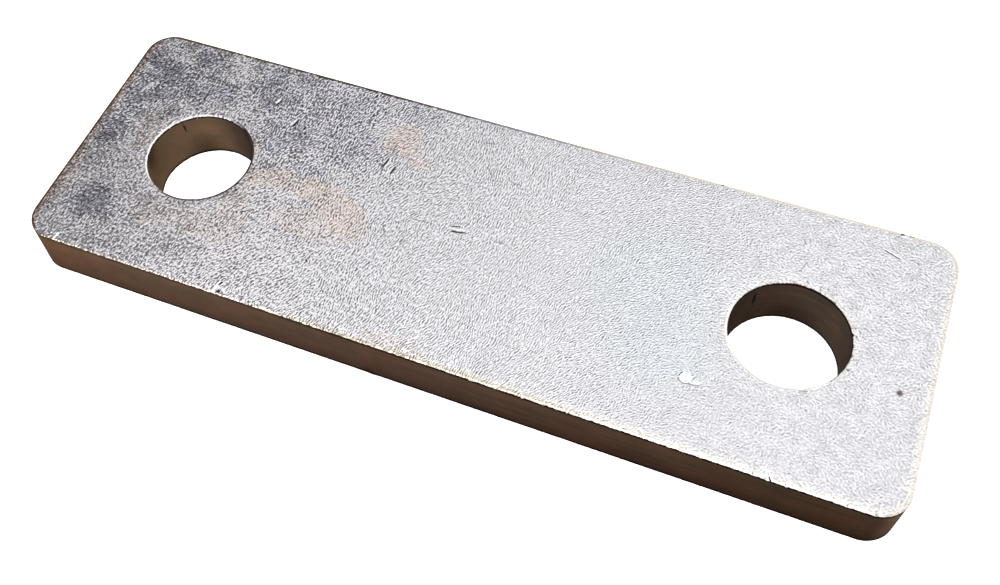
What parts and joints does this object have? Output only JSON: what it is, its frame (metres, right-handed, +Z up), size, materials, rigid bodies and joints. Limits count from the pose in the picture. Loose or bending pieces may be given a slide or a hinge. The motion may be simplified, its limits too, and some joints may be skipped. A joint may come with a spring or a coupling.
{
  "type": "u-bolt plate",
  "caption": "Flat rectangular steel plate with rounded corners and a round clearance hole near each end, which clamps under the nuts of a U-bolt.",
  "frame": {"origin": "middle of the underside", "axes": "+X along the length through both holes, +Y across the width, +Z up through the thickness"},
  "size_m": [0.15, 0.05, 0.01],
  "materials": {
    "zinc_plated_steel": "zinc plated, fine leathery grain on the flat faces, smooth brownish cut edges and hole walls"
  },
  "bodies": {
    "root": {"plate": "zinc_plated_steel"}
  },
  "joints": []
}
